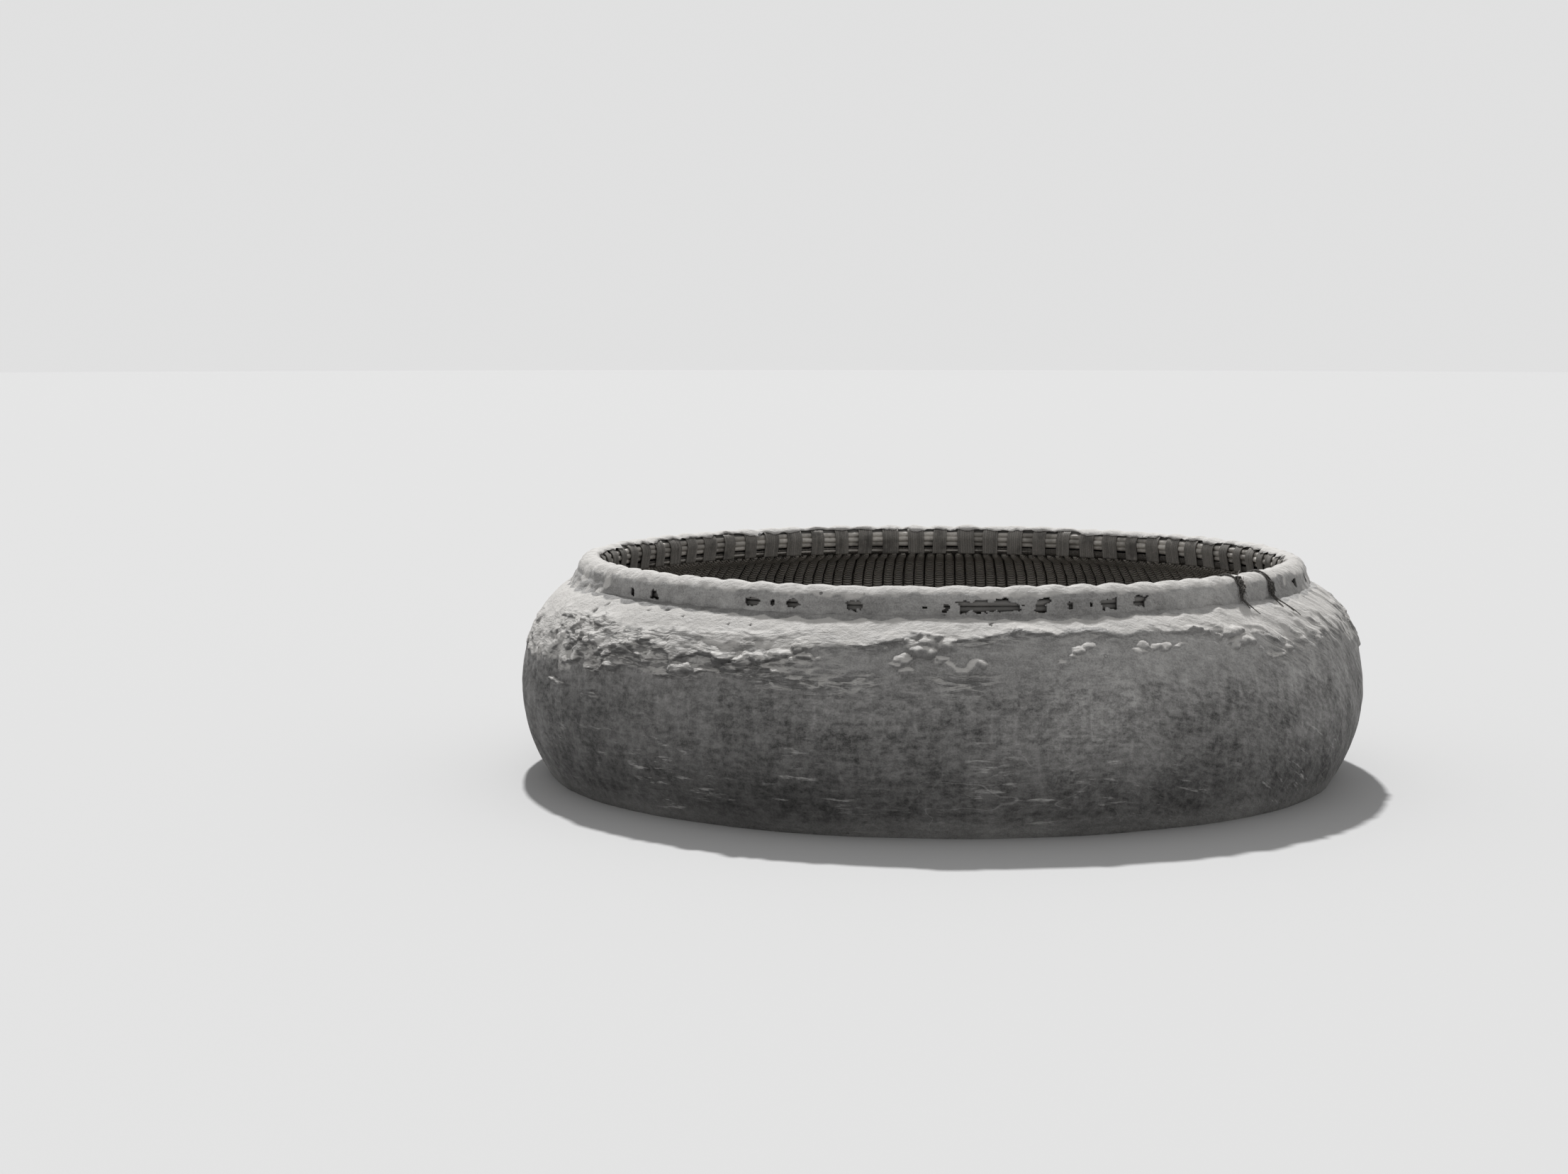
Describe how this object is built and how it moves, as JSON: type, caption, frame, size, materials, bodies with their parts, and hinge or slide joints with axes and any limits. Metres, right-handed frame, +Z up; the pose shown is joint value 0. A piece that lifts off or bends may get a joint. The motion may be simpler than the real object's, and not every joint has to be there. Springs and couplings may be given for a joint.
{
  "type": "round basket coracle",
  "caption": "Round open basket boat with close inner ribs, a lashed withy rim and a thick bitumen coat outside.",
  "frame": {"origin": "middle of the flat bottom of the hull, on the surface it stands on", "axes": "+Z up along the hull's axis, +Y away from the side that the picture shows, +X to that side's right"},
  "size_m": [3.5198, 3.5198, 1.014],
  "materials": {
    "bitumen": "weathered matt bitumen, wrinkled and pitted",
    "basketry": "coiled rush basketry, dark with age",
    "withies": "peeled willow withies, weathered grey",
    "palm_fibre": "flat plaited palm-leaf bands",
    "rope": "two-ply palm-fibre rope, hairy and grey"
  },
  "bodies": {
    "root": {"bitumen_side": "bitumen", "bitumen_bottom": "bitumen", "basket_wall": "basketry", "basket_floor": "basketry", "rim_bundle": "withies", "rim_lashings": "palm_fibre", "ribs_short": "withies", "ribs_middle": "withies", "ribs_long": "withies", "rim_ties": "rope"}
  },
  "joints": []
}
